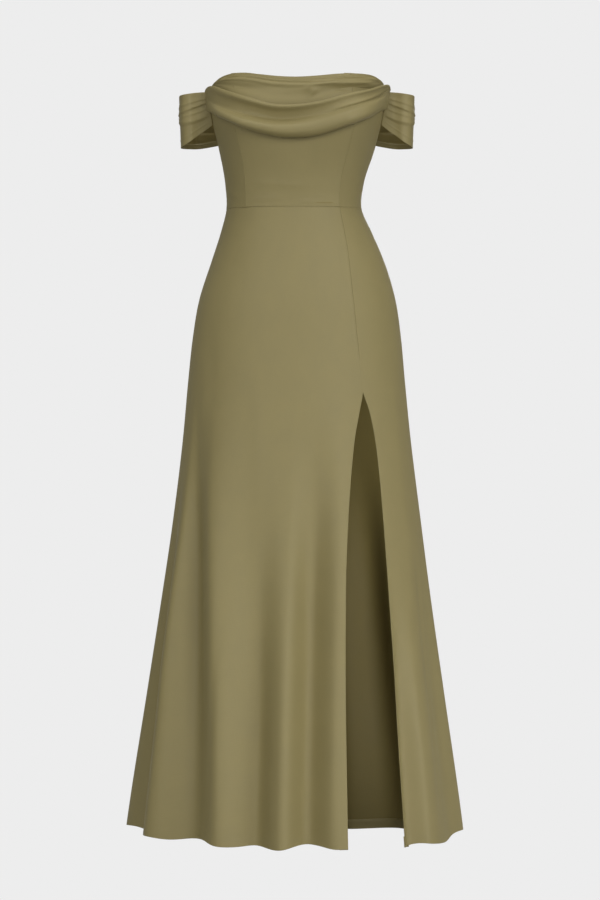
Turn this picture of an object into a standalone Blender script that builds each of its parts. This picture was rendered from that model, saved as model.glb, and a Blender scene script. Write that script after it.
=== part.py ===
"""Off-the-shoulder satin bridesmaid dress in its worn, hollow shape, one object for each sewn piece.

Metres, +Z up. +X is the wearer's left and the front faces -Y. The origin is the centre of the waist seam,
where the fitted bodice grips its wearer. Angles go round the dress in degrees: 0 is centre front, 90 the
wearer's left side, -90 the right side and 180 centre back.
"""

import math
from collections import namedtuple

import bmesh
import bpy
import numpy as np

MM = 0.001

# Driving sizes. The upper drape tucks in behind the rolled fold, which covers its last part, and swells most
# where the part that shows is deep.
SATIN = 1.5 * MM
BODICE_CLOTH = 1.8 * MM
SEAM_GAP = 0.3 * MM
SLIT_TOP = -0.328
SATIN_COLOUR = (0.224, 0.187, 0.089, 1.0)
METAL_COLOUR = (0.30, 0.26, 0.15, 1.0)

# Each ring of the dress: its height, the reach to each side, to the front and to the back,
# and how far its corners swell past an ellipse, as a share.
Ring = namedtuple("Ring", "height right left front back corner")
RINGS = [
    Ring(-1.135, 0.3075, 0.3020, 0.240, 0.258, 0.000),
    Ring(-1.050, 0.2955, 0.2910, 0.229, 0.245, 0.000),
    Ring(-0.873, 0.2675, 0.2655, 0.203, 0.217, 0.000),
    Ring(-0.695, 0.2400, 0.2405, 0.176, 0.190, 0.005),
    Ring(-0.553, 0.2190, 0.2222, 0.155, 0.168, 0.010),
    Ring(-0.410, 0.2015, 0.2042, 0.137, 0.151, 0.020),
    Ring(-0.303, 0.1917, 0.1936, 0.126, 0.143, 0.025),
    Ring(-0.232, 0.1842, 0.1872, 0.119, 0.139, 0.030),
    Ring(-0.161, 0.1722, 0.1770, 0.112, 0.129, 0.035),
    Ring(-0.090, 0.1495, 0.1558, 0.101, 0.107, 0.035),
    Ring(-0.040, 0.1335, 0.1344, 0.091, 0.090, 0.035),
    Ring(0.000, 0.1240, 0.1170, 0.084, 0.080, 0.040),
    Ring(0.045, 0.1260, 0.1204, 0.088, 0.082, 0.045),
    Ring(0.106, 0.1370, 0.1397, 0.100, 0.091, 0.050),
    Ring(0.152, 0.1476, 0.1513, 0.108, 0.097, 0.050),
    Ring(0.200, 0.1545, 0.1590, 0.108, 0.100, 0.045),
    Ring(0.240, 0.1560, 0.1600, 0.103, 0.100, 0.040),
]

# The cups that the princess seams shape
Cup = namedtuple("Cup", "angle height rise spread_angle spread_height")
CUPS = [
    Cup(-38.0, 0.150, 0.015, 21.0, 0.050),
    Cup(38.0, 0.150, 0.015, 21.0, 0.050),
]

# Crests and valleys of the skirt folds in their order round it, each fading in from its start height to its
# full height, with its angle at FOLD_HIGH and at FOLD_LOW. A negative rise is a valley.
Fold = namedtuple("Fold", "start full angle_high angle_low rise")
FOLD_HIGH = -0.50
FOLD_LOW = -1.10
FOLD_START = 0.4
FOLD_EASE = 1.4
FOLDS = [
    Fold(-0.45, -0.90, -76.0, -68.0, -0.018),
    Fold(-0.40, -0.85, -64.0, -54.0, 0.020),
    Fold(-0.30, -0.75, -56.0, -37.5, -0.018),
    Fold(-0.25, -0.75, -41.0, -25.0, 0.021),
    Fold(-0.42, -0.95, -17.5, -13.5, -0.017),
    Fold(-0.45, -1.00, -3.5, -4.0, 0.019),
    Fold(-0.35, -0.75, 8.0, 4.6, -0.020),
    Fold(-0.30, -0.70, 20.5, 13.4, 0.016),
    Fold(-0.55, -0.95, 43.0, 38.0, 0.004),
    Fold(-0.70, -1.00, 48.0, 41.8, -0.009),
    Fold(-0.60, -1.00, 57.0, 49.5, 0.012),
    Fold(-0.50, -0.95, 74.0, 70.0, -0.009),
    Fold(-0.50, -0.95, 84.0, 83.0, 0.001),
    Fold(-0.45, -0.90, 100.0, 100.0, -0.017),
    Fold(-0.42, -0.85, 115.0, 115.0, 0.019),
    Fold(-0.38, -0.80, 131.0, 130.0, -0.019),
    Fold(-0.40, -0.85, 146.0, 145.0, 0.020),
    Fold(-0.36, -0.80, 160.0, 160.0, -0.019),
    Fold(-0.45, -0.90, 173.0, 173.0, 0.017),
    Fold(-0.40, -0.85, 187.0, 187.0, -0.017),
    Fold(-0.42, -0.88, 200.0, 200.0, 0.020),
    Fold(-0.36, -0.80, 213.0, 214.0, -0.020),
    Fold(-0.40, -0.85, 226.0, 228.0, 0.019),
    Fold(-0.44, -0.90, 238.0, 241.0, -0.017),
    Fold(-0.46, -0.90, 250.0, 252.0, 0.014),
    Fold(-0.50, -0.95, 262.0, 262.5, -0.012),
    Fold(-0.50, -0.95, 276.0, 277.0, 0.001),
]

# Height of the hem and of the bodice's top edge at each angle
Edge = namedtuple("Edge", "angle height")
HEM = [
    Edge(-180.0, -1.129),
    Edge(-135.0, -1.121),
    Edge(-90.0, -1.094),
    Edge(-76.0, -1.0915),
    Edge(-68.0, -1.0955),
    Edge(-60.0, -1.0975),
    Edge(-54.0, -1.0985),
    Edge(-46.0, -1.1025),
    Edge(-38.0, -1.0998),
    Edge(-31.0, -1.1000),
    Edge(-25.0, -1.1065),
    Edge(-19.0, -1.1085),
    Edge(-13.5, -1.1068),
    Edge(-4.0, -1.1112),
    Edge(2.0, -1.1055),
    Edge(5.0, -1.1045),
    Edge(9.0, -1.1062),
    Edge(13.4, -1.1105),
    Edge(17.0, -1.1110),
    Edge(38.0, -1.1158),
    Edge(45.0, -1.1085),
    Edge(50.0, -1.1105),
    Edge(67.0, -1.1105),
    Edge(74.0, -1.1030),
    Edge(90.0, -1.1010),
    Edge(135.0, -1.1235),
    Edge(180.0, -1.129),
]
NECK = [
    Edge(-180.0, 0.1860),
    Edge(-130.0, 0.1880),
    Edge(-100.0, 0.1930),
    Edge(-80.0, 0.2040),
    Edge(-64.0, 0.2210),
    Edge(-48.0, 0.2315),
    Edge(-36.0, 0.2338),
    Edge(-26.0, 0.2306),
    Edge(-13.0, 0.2266),
    Edge(0.0, 0.2252),
    Edge(13.0, 0.2272),
    Edge(28.0, 0.2313),
    Edge(40.0, 0.2330),
    Edge(56.0, 0.2305),
    Edge(66.0, 0.2245),
    Edge(82.0, 0.2080),
    Edge(100.0, 0.1930),
    Edge(130.0, 0.1880),
    Edge(180.0, 0.1860),
]

# The seam on the wearer's left thigh and the two edges of the slit that it opens into
Slit = namedtuple("Slit", "height near far")
SLIT = [
    Slit(-1.135, 17.0, 39.5),
    Slit(-0.990, 17.6, 40.2),
    Slit(-0.840, 18.5, 41.4),
    Slit(-0.730, 19.6, 42.0),
    Slit(-0.630, 21.0, 42.6),
    Slit(-0.540, 23.4, 42.8),
    Slit(-0.470, 26.2, 42.6),
    Slit(-0.400, 30.0, 41.2),
    Slit(-0.355, 33.6, 38.6),
    Slit(SLIT_TOP, 35.8, 35.8),
    Slit(-0.260, 34.2, 34.2),
    Slit(-0.190, 33.0, 33.0),
    Slit(-0.125, 33.2, 33.2),
    Slit(-0.050, 36.6, 36.6),
    Slit(0.000, 40.0, 40.0),
]

# Heights along the draped neckline: its sewn top edge, the two fold lines, and its lower edge.
# Fullness is how far it stands off the bodice there, as a share of the most.
Drape = namedtuple("Drape", "angle top fold crease lower fullness")
DRAPE = [
    Drape(-88.0, 0.2030, 0.2060, 0.1960, 0.1740, 0.02),
    Drape(-75.0, 0.2090, 0.2125, 0.1972, 0.1708, 0.22),
    Drape(-60.0, 0.2225, 0.2132, 0.1900, 0.1622, 0.55),
    Drape(-45.0, 0.2290, 0.2022, 0.1790, 0.1490, 0.90),
    Drape(-30.0, 0.2292, 0.1890, 0.1645, 0.1310, 1.00),
    Drape(-15.0, 0.2225, 0.1765, 0.1575, 0.1200, 1.00),
    Drape(0.0, 0.2200, 0.1758, 0.1565, 0.1176, 1.00),
    Drape(15.0, 0.2212, 0.1822, 0.1605, 0.1222, 1.00),
    Drape(30.0, 0.2262, 0.1952, 0.1760, 0.1362, 0.95),
    Drape(45.0, 0.2280, 0.2045, 0.1940, 0.1522, 0.85),
    Drape(60.0, 0.2270, 0.2150, 0.2030, 0.1672, 0.62),
    Drape(75.0, 0.2150, 0.2170, 0.2060, 0.1745, 0.30),
    Drape(88.0, 0.2030, 0.2065, 0.1970, 0.1770, 0.02),
]

# The lower drape's cross-section from its hidden top end, over the rolled fold, in at the crease, out over
# the swell and under at the lower edge. Height is fold + (next line down - fold) * share + rise.
Bend = namedtuple("Bend", "line share rise close full")
BENDS = [
    Bend("fold", 0.00, -0.0105, 4.0 * MM, 0.0 * MM),
    Bend("fold", 0.00, -0.0030, 4.4 * MM, 0.6 * MM),
    Bend("fold", 0.00, 0.0000, 5.8 * MM, 2.0 * MM),
    Bend("fold", 0.25, -0.0010, 7.2 * MM, 4.2 * MM),
    Bend("fold", 1.00, 0.0000, 6.8 * MM, 2.6 * MM),
    Bend("crease", 0.30, 0.0000, 7.2 * MM, 9.5 * MM),
    Bend("crease", 0.66, 0.0000, 7.6 * MM, 14.0 * MM),
    Bend("crease", 0.92, 0.0000, 7.0 * MM, 12.0 * MM),
    Bend("crease", 1.00, 0.0010, 5.2 * MM, 7.5 * MM),
    Bend("crease", 0.80, 0.0010, 3.4 * MM, 2.0 * MM),
]

DRAPE_END = 81.0
UPPER_DRAPE_OUT = 1.7 * MM
UPPER_DRAPE_SWELL = 2.6 * MM
UPPER_DRAPE_TUCK = 9.5 * MM
UPPER_DRAPE_COVER = 3.0 * MM
UPPER_DRAPE_DEEP = 30.0 * MM

# Plan of the sleeve band round the upper arm, on the wearer's left, with its top and lower edges.
# Its two ends lie on the bodice at SLEEVE_ROOTS, so the first and last rows' x and y aren't read.
Band = namedtuple("Band", "share x y top lower")
SLEEVE = [
    Band(0.00, 0.0, 0.0, 0.2082, 0.1500),
    Band(0.12, 0.1730, -0.0110, 0.2072, 0.1330),
    Band(0.28, 0.1915, -0.0165, 0.2045, 0.1190),
    Band(0.40, 0.2040, -0.0080, 0.2030, 0.1122),
    Band(0.52, 0.2085, 0.0150, 0.2026, 0.1108),
    Band(0.64, 0.2075, 0.0430, 0.2022, 0.1118),
    Band(0.76, 0.1970, 0.0680, 0.2000, 0.1132),
    Band(0.88, 0.1720, 0.0800, 0.1950, 0.1150),
    Band(1.00, 0.0, 0.0, 0.1860, 0.1230),
]
Root = namedtuple("Root", "angle clear")
SLEEVE_ROOTS = (Root(84.5, 0.6 * MM), Root(128.0, 0.8 * MM))
SLEEVE_SHIFT = {"left": 0.0030, "right": 0.0}
SLEEVE_TAPER = 0.003
SLEEVE_CENTRE = (0.178, 0.035)

# Sleeve pleats: where each crosses the height of the band at its root and round the arm. They are deepest
# at the roots and fade to PLEAT_LEAST of that between PLEATS_OUT and PLEATS_IN, shares of the way round.
Pleat = namedtuple("Pleat", "root outer rise width")
PLEATS = [
    Pleat(0.24, 0.33, 2.6 * MM, 0.065),
    Pleat(0.44, 0.46, 2.2 * MM, 0.060),
    Pleat(0.66, 0.64, 3.0 * MM, 0.080),
]
PLEATS_OUT = 0.55
PLEATS_IN = 0.60
PLEAT_LEAST = 0.25
PLEAT_SETTLE = 0.10

# Seams round the bodice, at the waist and at the top edge
Seam = namedtuple("Seam", "waist neck")
PRINCESS_RIGHT = Seam(-42.5, -40.5)
PRINCESS_LEFT = Seam(40.0, 34.5)
SIDE_RIGHT = Seam(-91.0, -91.0)
SIDE_LEFT = Seam(91.0, 91.0)
BACK_RIGHT = Seam(-142.0, -138.0)
BACK_LEFT = Seam(142.0, 138.0)
CENTRE_BACK = 180.0
NEAR_BACK = 179.9

# Invisible zip: the slider and its pull at the top of the centre back seam
SLIDER_WIDTH = 6.0 * MM
SLIDER_DEPTH = 2.4 * MM
SLIDER_HEIGHT = 9.0 * MM
SLIDER_DROP = 11.0 * MM
EAR_THICKNESS = 1.0 * MM
EAR_REACH = 3.4 * MM
EAR_HEIGHT = 3.2 * MM
PIN_RADIUS = 0.6 * MM
PIN_OFFSET = 2.2 * MM
PIN_DROP = 1.0 * MM
EAR_OVERLAP = 0.4 * MM
PULL_HOLE = 0.95 * MM
PULL_EYE = 1.8 * MM
PULL_NECK = 3.4 * MM
PULL_SHOULDER = 3.2 * MM
PULL_WIDE = 3.1 * MM
PULL_LENGTH = 21.0 * MM
PULL_THICKNESS = 1.0 * MM
ROUND_SEGMENTS = 20


def through(places, values, at):
    """A smooth curve through the values at those places, read at each of at."""
    places, values, at = (np.asarray(v, float) for v in (places, values, at))
    slopes = np.gradient(values, places)
    i = np.clip(np.searchsorted(places, at) - 1, 0, len(places) - 2)
    width = places[i + 1] - places[i]
    t = np.clip((at - places[i]) / width, 0.0, 1.0)
    rise = values[i + 1] - values[i]
    ease = t * t * (3 - 2 * t)
    bend = t * (1 - t) * ((1 - t) * (slopes[i] * width) - t * (slopes[i + 1] * width))
    return values[i] + rise * ease + bend


def column(table, key, name, at):
    """One column of a table as a smooth curve over its key column."""
    return through([getattr(r, key) for r in table], [getattr(r, name) for r in table], at)


def soft_step(t):
    t = np.clip(t, 0.0, 1.0)
    return t * t * (3 - 2 * t)


def turned(angle):
    """The angle brought between -180 and 180."""
    return (angle + 180.0) % 360.0 - 180.0


def fold_rise(angle, height):
    """How far the skirt's folds carry the cloth out at a point."""
    low = (FOLD_HIGH - np.maximum(height, FOLD_LOW)) / (FOLD_HIGH - FOLD_LOW)
    lean = np.where(low > 0, 1 - (1 - np.clip(low, 0, 1)) ** FOLD_EASE, np.maximum(low, -FOLD_START))
    at = [f.angle_high + (f.angle_low - f.angle_high) * lean for f in FOLDS]
    rise = [f.rise * soft_step((f.start - height) / (f.start - f.full)) for f in FOLDS]
    round_trip = (angle - at[0]) % 360.0
    total = np.zeros_like(height)
    for k in range(len(FOLDS)):
        n = (k + 1) % len(FOLDS)
        here = at[k] - at[0]
        there = at[n] - at[0] + (360.0 if n == 0 else 0.0)
        share = (round_trip - here) / (there - here)
        between = (share >= 0) & (share < 1)
        total += np.where(between, rise[k] + (rise[n] - rise[k]) * soft_step(share), 0.0)
    return total


def cup_rise(angle, height):
    """How far the cups carry the bodice out at a point."""
    total = np.zeros_like(height)
    for cup in CUPS:
        across = turned(angle - cup.angle) / cup.spread_angle
        up = (height - cup.height) / cup.spread_height
        total += cup.rise * np.exp(-across * across - up * up)
    return total


def body(angle, height, out=0.0):
    """Points on the dress's outer face at those angles and heights, moved out level by out."""
    angle, height = np.broadcast_arrays(np.asarray(angle, float), np.asarray(height, float))
    turn = np.radians(angle)
    right, left, front, back, corner = (
        column(RINGS, "height", name, height) for name in Ring._fields[1:]
    )
    half = (right + left) / 2
    depth = np.where(np.cos(turn) > 0, front, back)
    swell = 1 + corner * np.sin(2 * turn) ** 2
    side, ahead = np.sin(turn) / half, -np.cos(turn) / depth
    length = np.hypot(side, ahead)
    out = out + fold_rise(angle, height) + cup_rise(angle, height)
    x = (left - right) / 2 + half * swell * np.sin(turn) + out * side / length
    y = -depth * swell * np.cos(turn) + out * ahead / length
    return np.stack([x, y, height], axis=-1)


def new_material(name, colour, metallic, roughness):
    material = bpy.data.materials.new(name)
    material.use_nodes = True
    shader = material.node_tree.nodes["Principled BSDF"]
    shader.inputs["Base Color"].default_value = colour
    shader.inputs["Metallic"].default_value = metallic
    shader.inputs["Roughness"].default_value = roughness
    return material


def new_object(name, mesh, collection, material):
    made = bpy.data.objects.new(name, mesh)
    made.data.materials.append(material)
    collection.objects.link(made)
    return made


def cloth_panel(name, surface, columns, rows, thickness, collection, material):
    """A wall of cloth on the middle surface that surface(u, v) gives, with u and v from 0 to 1."""
    sheet = bmesh.new()
    bmesh.ops.create_grid(sheet, x_segments=columns, y_segments=rows, size=0.5)
    u = np.array([v.co.x + 0.5 for v in sheet.verts])
    v = np.array([v.co.y + 0.5 for v in sheet.verts])
    for vertex, place in zip(sheet.verts, surface(u, v)):
        vertex.co = place
    mesh = bpy.data.meshes.new(name)
    sheet.to_mesh(mesh)
    sheet.free()
    mesh.shade_smooth()
    made = new_object(name, mesh, collection, material)
    wall = made.modifiers.new("Cloth", "SOLIDIFY")
    wall.thickness = thickness
    wall.offset = 0.0
    wall.use_even_offset = True
    wall.use_quality_normals = True
    return made


def trimmed(angle, height, side):
    """The angle moved by half a seam gap, to the side that side's sign gives."""
    reach = column(RINGS, "height", "left", height)
    return angle + side * np.degrees(SEAM_GAP / 2 / reach)


def bodice_panel(start, end):
    """The middle surface of a bodice piece between two seams."""

    def surface(u, v):
        share = v
        low = start.waist + (start.neck - start.waist) * share
        high = end.waist + (end.neck - end.waist) * share
        angle = low + (high - low) * u
        top = column(NECK, "angle", "height", turned(np.clip(angle, -NEAR_BACK, NEAR_BACK)))
        height = SEAM_GAP / 2 + (top - SEAM_GAP / 2) * v
        angle = trimmed(low, height, 1) + (trimmed(high, height, -1) - trimmed(low, height, 1)) * u
        return body(angle, height, out=-BODICE_CLOTH / 2)

    return surface


def skirt_height(angle, v, rows_above, rows):
    """Rows go evenly from the waist to the slit's top, and evenly from there to the hem."""
    hem = column(HEM, "angle", "height", turned(np.clip(angle, -NEAR_BACK, 360 + NEAR_BACK)))
    above = rows_above / rows
    waist = -SEAM_GAP / 2
    upper = waist + (SLIT_TOP - waist) * v / above
    lower = SLIT_TOP + (hem - SLIT_TOP) * (v - above) / (1 - above)
    return np.where(v <= above, upper, lower)


def slit_edge(which):
    """A skirt edge that follows the thigh seam and then the slit's near or far edge."""
    return lambda height: column(SLIT, "height", which, height)


def straight(angle):
    return lambda height: np.full_like(height, angle)


def skirt_panel(start, end, rows_above, rows):
    """The middle surface of a skirt piece between two edges."""

    def surface(u, v):
        guess = skirt_height(start(np.full_like(v, SLIT_TOP)), v, rows_above, rows)
        rough = start(guess) + (end(guess) - start(guess)) * u
        height = skirt_height(rough, v, rows_above, rows)
        low, high = trimmed(start(height), height, 1), trimmed(end(height), height, -1)
        return body(low + (high - low) * u, height, out=-SATIN / 2)

    return surface


def upper_drape(u, v):
    """The drape's upper layer, from its sewn edge down behind the rolled fold."""
    angle = (2 * u - 1) * (DRAPE_END - 1.0)
    top = column(DRAPE, "angle", "top", angle)
    low = column(DRAPE, "angle", "fold", angle) - UPPER_DRAPE_TUCK
    fullness = column(DRAPE, "angle", "fullness", angle)
    height = top + (low - top) * v
    shown = top - column(DRAPE, "angle", "fold", angle) - UPPER_DRAPE_COVER
    swell = np.sin(math.pi * np.clip((top - height) / np.maximum(shown, MM), 0, 1)) ** 2
    swell *= fullness * np.clip(shown / UPPER_DRAPE_DEEP, 0, 1)
    return body(angle, height, out=UPPER_DRAPE_OUT + UPPER_DRAPE_SWELL * swell)


def lower_drape(u, v):
    """The drape's lower layer: rolled fold, crease, swell and turned-under edge."""
    angle = (2 * u - 1) * DRAPE_END
    lines = {name: column(DRAPE, "angle", name, angle) for name in ("fold", "crease", "lower")}
    below = {"fold": "crease", "crease": "lower"}
    fullness = column(DRAPE, "angle", "fullness", angle)
    places = np.linspace(0, 1, len(BENDS))
    height, out = np.zeros_like(v), np.zeros_like(v)
    for k, bend in enumerate(BENDS):
        weight = through(places, np.eye(len(BENDS))[k], v)
        line, under = lines[bend.line], lines[below[bend.line]]
        height += weight * (line + (under - line) * bend.share + bend.rise)
        out += weight * (bend.close + bend.full * fullness)
    return body(angle, height, out=out)


def sleeve_band(side):
    """The middle surface of a sleeve band: from the bodice's side round the arm to its back."""
    sign = 1.0 if side == "left" else -1.0
    shares = [row.share for row in SLEEVE]

    def surface(u, v):
        top, lower = (column(SLEEVE, "share", name, u) for name in ("top", "lower"))
        height = top + (lower - top) * v
        place = np.zeros((len(u), 2))
        for k, row in enumerate(SLEEVE):
            weight = through(shares, np.eye(len(SLEEVE))[k], u)[:, None]
            if k in (0, len(SLEEVE) - 1):
                root = SLEEVE_ROOTS[0 if k == 0 else 1]
                plan = body(sign * root.angle, height, out=root.clear)[:, :2] * (sign, 1)
            else:
                reach = row.x + SLEEVE_SHIFT[side] - SLEEVE_TAPER * v
                plan = np.stack([reach, np.full_like(v, row.y)], axis=-1)
            place += weight * plan
        near_root = np.maximum(1 - u / PLEATS_OUT, (u - PLEATS_IN) / (1 - PLEATS_IN)).clip(PLEAT_LEAST, 1.0)
        settled = soft_step(u / PLEAT_SETTLE) * soft_step((1 - u) / PLEAT_SETTLE)
        rise = np.zeros_like(v)
        for pleat in PLEATS:
            middle = pleat.outer + (pleat.root - pleat.outer) * near_root
            rise += pleat.rise * np.exp(-(((v - middle) / pleat.width) ** 2))
        outward = place - np.array(SLEEVE_CENTRE)
        outward /= np.linalg.norm(outward, axis=1)[:, None]
        place += outward * (rise * near_root * settled)[:, None]
        return np.stack([sign * place[:, 0], place[:, 1], height], axis=-1)

    return surface


def box_mesh(corner, size):
    """A box between corner and corner + size, as a bmesh."""
    made = bmesh.new()
    bmesh.ops.create_cube(made, size=1.0)
    for vertex in made.verts:
        vertex.co = [c + s * (p + 0.5) for c, s, p in zip(corner, size, vertex.co)]
    return made


def mesh_object(name, made, collection, material):
    mesh = bpy.data.meshes.new(name)
    made.to_mesh(mesh)
    made.free()
    return new_object(name, mesh, collection, material)


def across_rod(radius, length, y, z):
    """A rod along X, centred on X, as a bmesh."""
    made = bmesh.new()
    bmesh.ops.create_cone(
        made, cap_ends=True, segments=ROUND_SEGMENTS, radius1=radius, radius2=radius, depth=length
    )
    for vertex in made.verts:
        vertex.co = (vertex.co.z, vertex.co.x + y, vertex.co.y + z)
    bmesh.ops.recalc_face_normals(made, faces=made.faces)
    return made


def hide(helper):
    helper.hide_render = True
    helper.display_type = "WIRE"


def combine(target, tools, operation):
    for tool in tools:
        step = target.modifiers.new(tool.name, "BOOLEAN")
        step.operation = operation
        step.object = tool
        hide(tool)


def make_zip(parts, cutters, metal):
    """The slider, fixed at the top of the zip, and the pull that hangs from the pin in its ears."""
    neck = column(NECK, "angle", "height", 180.0)
    top = float(neck) - SLIDER_DROP + SLIDER_HEIGHT
    wall = max(float(body(180.0, h)[1]) for h in (top, top - SLIDER_HEIGHT))
    face = wall + SEAM_GAP
    pin_y = face + SLIDER_DEPTH + PIN_OFFSET
    pin_z = top - EAR_HEIGHT / 2 - PIN_DROP
    slider = mesh_object(
        "zip_slider",
        box_mesh((-SLIDER_WIDTH / 2, face, top - SLIDER_HEIGHT), (SLIDER_WIDTH, SLIDER_DEPTH, SLIDER_HEIGHT)),
        parts,
        metal,
    )
    ears = []
    for side in (-1, 1):
        low = side * SLIDER_WIDTH / 2 - (EAR_THICKNESS if side > 0 else 0.0)
        ear = box_mesh(
            (low, face + SLIDER_DEPTH - EAR_OVERLAP, pin_z - EAR_HEIGHT / 2),
            (EAR_THICKNESS, EAR_REACH + EAR_OVERLAP, EAR_HEIGHT),
        )
        ears.append(mesh_object(f"ear_{side}", ear, cutters, metal))
    pin = mesh_object(
        "pin", across_rod(PIN_RADIUS, SLIDER_WIDTH - EAR_THICKNESS, pin_y, pin_z), cutters, metal
    )
    combine(slider, [*ears, pin], "UNION")

    barrel = across_rod(PULL_EYE, PULL_NECK, pin_y, pin_z)
    pull = mesh_object("zip_pull", barrel, parts, metal)
    tongue = mesh_object("tongue", pull_tongue(pin_y, pin_z), cutters, metal)
    eye = mesh_object("eye", across_rod(PULL_HOLE, SLIDER_WIDTH, pin_y, pin_z), cutters, metal)
    combine(pull, [tongue], "UNION")
    combine(pull, [eye], "DIFFERENCE")


def pull_tongue(pin_y, pin_z):
    """The pull's flat tongue: a straight neck from the barrel that widens to a round end."""
    neck = PULL_NECK / 2
    points = [(-neck, 0.0), (neck, 0.0), (neck, -PULL_SHOULDER)]
    centre = -PULL_LENGTH + PULL_WIDE
    for k in range(ROUND_SEGMENTS + 1):
        turn = -math.pi * k / ROUND_SEGMENTS
        points.append((PULL_WIDE * math.cos(turn), centre + PULL_WIDE * math.sin(turn)))
    points.append((-neck, -PULL_SHOULDER))
    made = bmesh.new()
    ring = [made.verts.new((x, pin_y - PULL_THICKNESS / 2, pin_z + z)) for x, z in points]
    pushed = bmesh.ops.extrude_face_region(made, geom=[made.faces.new(ring)])
    bmesh.ops.translate(
        made,
        verts=[item for item in pushed["geom"] if isinstance(item, bmesh.types.BMVert)],
        vec=(0.0, PULL_THICKNESS, 0.0),
    )
    bmesh.ops.recalc_face_normals(made, faces=made.faces)
    return made


def main():
    for old in list(bpy.data.objects):
        bpy.data.objects.remove(old, do_unlink=True)
    scene = bpy.context.scene
    parts = bpy.data.collections.new("bridesmaid_dress")
    cutters = bpy.data.collections.new("cutters")
    scene.collection.children.link(parts)
    scene.collection.children.link(cutters)
    satin = new_material("satin", SATIN_COLOUR, 0.0, 0.45)
    metal = new_material("painted_zip_metal", METAL_COLOUR, 0.6, 0.4)

    bodice = {
        "bodice_front": (PRINCESS_RIGHT, PRINCESS_LEFT, 14, 18),
        "bodice_side_front_right": (SIDE_RIGHT, PRINCESS_RIGHT, 8, 18),
        "bodice_side_front_left": (PRINCESS_LEFT, SIDE_LEFT, 8, 18),
        "bodice_side_back_right": (BACK_RIGHT, SIDE_RIGHT, 7, 10),
        "bodice_side_back_left": (SIDE_LEFT, BACK_LEFT, 7, 10),
        "bodice_back_right": (Seam(-CENTRE_BACK, -CENTRE_BACK), BACK_RIGHT, 6, 10),
        "bodice_back_left": (BACK_LEFT, Seam(CENTRE_BACK, CENTRE_BACK), 6, 10),
    }
    for name, (start, end, columns, rows) in bodice.items():
        cloth_panel(name, bodice_panel(start, end), columns, rows, BODICE_CLOTH, parts, satin)

    rows_above, rows = 5, 15
    skirt = {
        "skirt_front": (straight(SIDE_RIGHT.waist), slit_edge("near"), 38),
        "skirt_front_left": (slit_edge("far"), straight(SIDE_LEFT.waist), 16),
        "skirt_back_left": (straight(SIDE_LEFT.waist), straight(CENTRE_BACK), 26),
        "skirt_back_right": (straight(CENTRE_BACK), straight(360.0 + SIDE_RIGHT.waist), 26),
    }
    for name, (start, end, columns) in skirt.items():
        surface = skirt_panel(start, end, rows_above, rows)
        cloth_panel(name, surface, columns, rows, SATIN, parts, satin)

    cloth_panel("drape_upper", upper_drape, 26, 6, SATIN, parts, satin)
    cloth_panel("drape_lower", lower_drape, 30, 18, SATIN, parts, satin)
    for side in ("left", "right"):
        cloth_panel(f"sleeve_{side}", sleeve_band(side), 20, 16, SATIN, parts, satin)
    make_zip(parts, cutters, metal)


main()
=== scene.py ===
"""Satin, seams, drapes and studio for the off-the-shoulder bridesmaid dress.

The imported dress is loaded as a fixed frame, and each cloth solid is stood for by a thin shell of satin on the
same form, with its turned edges, pressed seams, pleats and soft creases.
"""

import math
from collections import namedtuple

import bmesh
import bpy
import numpy as np
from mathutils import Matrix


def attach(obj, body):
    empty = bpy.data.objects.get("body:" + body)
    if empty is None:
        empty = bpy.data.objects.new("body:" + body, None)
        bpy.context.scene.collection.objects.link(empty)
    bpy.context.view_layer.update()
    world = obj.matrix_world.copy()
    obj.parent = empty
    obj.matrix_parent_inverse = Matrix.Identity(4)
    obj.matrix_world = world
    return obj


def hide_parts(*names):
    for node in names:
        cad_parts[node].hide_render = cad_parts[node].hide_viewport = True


bl_info = {
    "name": "Satin bridesmaid dress",
    "version": (1, 0, 0),
    "blender": (4, 5, 0),
    "location": "3D View > Sidebar > Dress",
    "description": "Dresses the packed bridesmaid dress in satin and lights it",
    "category": "Object",
}

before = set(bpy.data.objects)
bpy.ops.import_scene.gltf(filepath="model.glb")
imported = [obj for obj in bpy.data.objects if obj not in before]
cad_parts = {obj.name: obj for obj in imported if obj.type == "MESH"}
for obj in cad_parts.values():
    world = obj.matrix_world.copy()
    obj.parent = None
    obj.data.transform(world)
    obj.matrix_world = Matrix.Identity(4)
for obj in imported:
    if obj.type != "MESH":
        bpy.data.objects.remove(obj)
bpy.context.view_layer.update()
BODY = "dress"

MM = 0.001
SEAM_GAP = 0.08 * MM

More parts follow.
